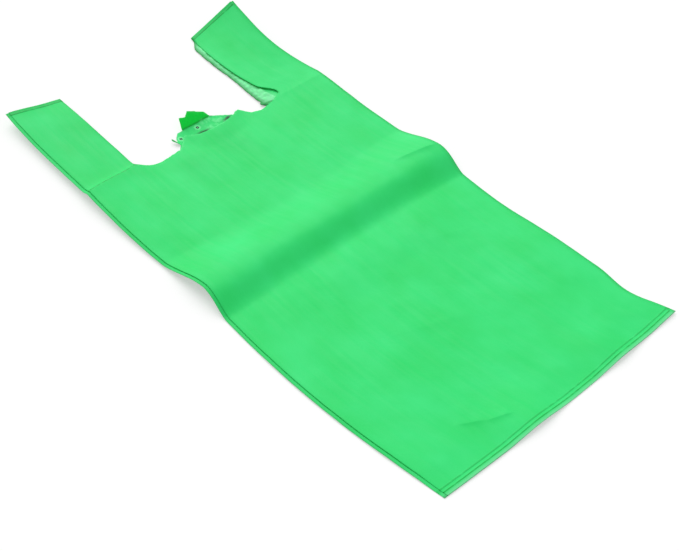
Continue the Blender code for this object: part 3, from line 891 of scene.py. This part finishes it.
def film_material():
    """Green film: patchy tone, faint lines along the bag, and the tints where the marks are, which include
    painted backlight, painted shade and painted highlight.
    """
    material = bpy.data.materials.new("green_film")
    material.use_nodes = True
    nodes, links = material.node_tree.nodes, material.node_tree.links
    shader = nodes["Principled BSDF"]
    shader.inputs["Specular IOR Level"].default_value = SHEEN
    place_mark = nodes.new("ShaderNodeAttribute")
    place_mark.attribute_name = "place"
    place = place_mark.outputs["Vector"]
    patches = stretched_noise(nodes, links, place, (1, 0.8, 1), 24, 3)
    streaks = stretched_noise(nodes, links, place, (1, 0.04, 1), 260, 2)
    grain = stretched_noise(nodes, links, place, (1, 1, 1), 620, 2)
    tone = colour_mix(nodes)
    tone.inputs["A"].default_value, tone.inputs["B"].default_value = TONES
    links.new(ranged(nodes, links, patches, 0, 1), tone.inputs["Factor"])
    colour = tone.outputs["Result"]
    for name, tint in TINTS:
        mark = nodes.new("ShaderNodeAttribute")
        mark.attribute_name = name
        mix = colour_mix(nodes)
        mix.inputs["B"].default_value = tint
        links.new(mark.outputs["Fac"], mix.inputs["Factor"])
        links.new(colour, mix.inputs["A"])
        colour = mix.outputs["Result"]
    links.new(colour, shader.inputs["Base Color"])
    links.new(ranged(nodes, links, streaks, *ROUGHNESS), shader.inputs["Roughness"])
    both = nodes.new("ShaderNodeMath")
    both.operation = "ADD"
    links.new(streaks, both.inputs[0])
    links.new(grain, both.inputs[1])
    relief = nodes.new("ShaderNodeBump")
    relief.inputs["Strength"].default_value = BUMP_STRENGTH
    relief.inputs["Distance"].default_value = BUMP_DISTANCE
    links.new(both.outputs[0], relief.inputs["Height"])
    links.new(relief.outputs["Normal"], shader.inputs["Normal"])
    return material


# Stage: white floor that keeps the shadow, white surround, one broad light
FLOOR_REACH, FLOOR_DROP = 6.0, 0.0002
FLOOR_TONE, FLOOR_GLOW = 0.58, 0.46
SKY_LIGHT, SKY_SEEN = 0.50, 1.0
SUN_TOWARDS, SUN_SPREAD, SUN_STRENGTH = (0.30, 0.95, 1.12), math.radians(65), 1.95
WHITE = (1, 1, 1, 1)

# Camera: eye in the flat bag's own places, view and picture's down direction
LENS, SENSOR, CLIP = 70.953, 36, (0.05, 50)
EYE = (-0.6972, -0.3529, 0.8481)
VIEW, VIEW_DOWN = (0.53553, 0.48010, -0.69478), (-0.45202, -0.53198, -0.71601)


def seen_directly(nodes, links):
    """1 for a ray from the camera, a reflection or through something clear, and 0 for light."""
    path = nodes.new("ShaderNodeLightPath")
    first = nodes.new("ShaderNodeMath")
    first.operation = "MAXIMUM"
    links.new(path.outputs["Is Camera Ray"], first.inputs[0])
    links.new(path.outputs["Is Glossy Ray"], first.inputs[1])
    second = nodes.new("ShaderNodeMath")
    second.operation = "MAXIMUM"
    links.new(first.outputs[0], second.inputs[0])
    links.new(path.outputs["Is Transmission Ray"], second.inputs[1])
    return second.outputs[0]


def floor_material():
    material = bpy.data.materials.new("white_floor")
    material.use_nodes = True
    nodes, links = material.node_tree.nodes, material.node_tree.links
    nodes.clear()
    out = nodes.new("ShaderNodeOutputMaterial")
    diffuse = nodes.new("ShaderNodeBsdfDiffuse")
    diffuse.inputs["Color"].default_value = (FLOOR_TONE, FLOOR_TONE, FLOOR_TONE, 1)
    glow = nodes.new("ShaderNodeEmission")
    glow.inputs["Color"].default_value = WHITE
    share = nodes.new("ShaderNodeMath")
    share.operation = "MULTIPLY"
    share.inputs[1].default_value = FLOOR_GLOW
    links.new(seen_directly(nodes, links), share.inputs[0])
    links.new(share.outputs[0], glow.inputs["Strength"])
    both = nodes.new("ShaderNodeAddShader")
    links.new(diffuse.outputs[0], both.inputs[0])
    links.new(glow.outputs[0], both.inputs[1])
    links.new(both.outputs[0], out.inputs["Surface"])
    return material


def make_floor():
    mesh = bpy.data.meshes.new("floor")
    corners = [(-1, -1), (1, -1), (1, 1), (-1, 1)]
    mesh.from_pydata([(x * FLOOR_REACH, y * FLOOR_REACH, 0) for x, y in corners], [], [(0, 1, 2, 3)])
    floor = bpy.data.objects.new("floor", mesh)
    bpy.context.scene.collection.objects.link(floor)
    floor.location.z = -FLOOR_DROP
    mesh.materials.append(floor_material())


def make_world():
    world = bpy.data.worlds.new("white")
    bpy.context.scene.world = world
    world.use_nodes = True
    nodes, links = world.node_tree.nodes, world.node_tree.links
    nodes.clear()
    out = nodes.new("ShaderNodeOutputWorld")
    sky = nodes.new("ShaderNodeBackground")
    mix = nodes.new("ShaderNodeMix")
    mix.inputs["A"].default_value = SKY_LIGHT
    mix.inputs["B"].default_value = SKY_SEEN
    links.new(seen_directly(nodes, links), mix.inputs["Factor"])
    links.new(mix.outputs["Result"], sky.inputs["Strength"])
    sky.inputs["Color"].default_value = WHITE
    links.new(sky.outputs[0], out.inputs["Surface"])


def make_sun():
    light = bpy.data.lights.new("key", "SUN")
    light.angle = SUN_SPREAD
    light.energy = SUN_STRENGTH
    lamp = bpy.data.objects.new("key", light)
    lamp.rotation_euler = Vector(SUN_TOWARDS).to_track_quat("Z", "Y").to_euler()
    bpy.context.scene.collection.objects.link(lamp)


def make_camera():
    data = bpy.data.cameras.new("camera")
    data.sensor_width = SENSOR
    data.lens = LENS
    data.clip_start, data.clip_end = CLIP
    camera = bpy.data.objects.new("camera", data)
    forward = Vector(VIEW).normalized()
    down = Vector(VIEW_DOWN).normalized()
    right = down.cross(forward)
    eye = Vector(EYE) - Vector((MIDDLE_X, MIDDLE_Y, 0))
    turn = Matrix((right, -down, -forward)).transposed()
    camera.matrix_world = Matrix.Translation(eye) @ turn.to_4x4()
    bpy.context.scene.collection.objects.link(camera)
    bpy.context.scene.camera = camera


for obj in list(bpy.data.objects):
    if obj.name in ("Cube", "Light", "Camera"):
        bpy.data.objects.remove(obj, do_unlink=True)

bag = film_mesh()
bag.data.materials.append(film_material())
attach(bag, "root")
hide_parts("carrier_bag")

make_floor()
make_world()
make_sun()
make_camera()
bpy.context.scene.view_settings.view_transform = "Standard"
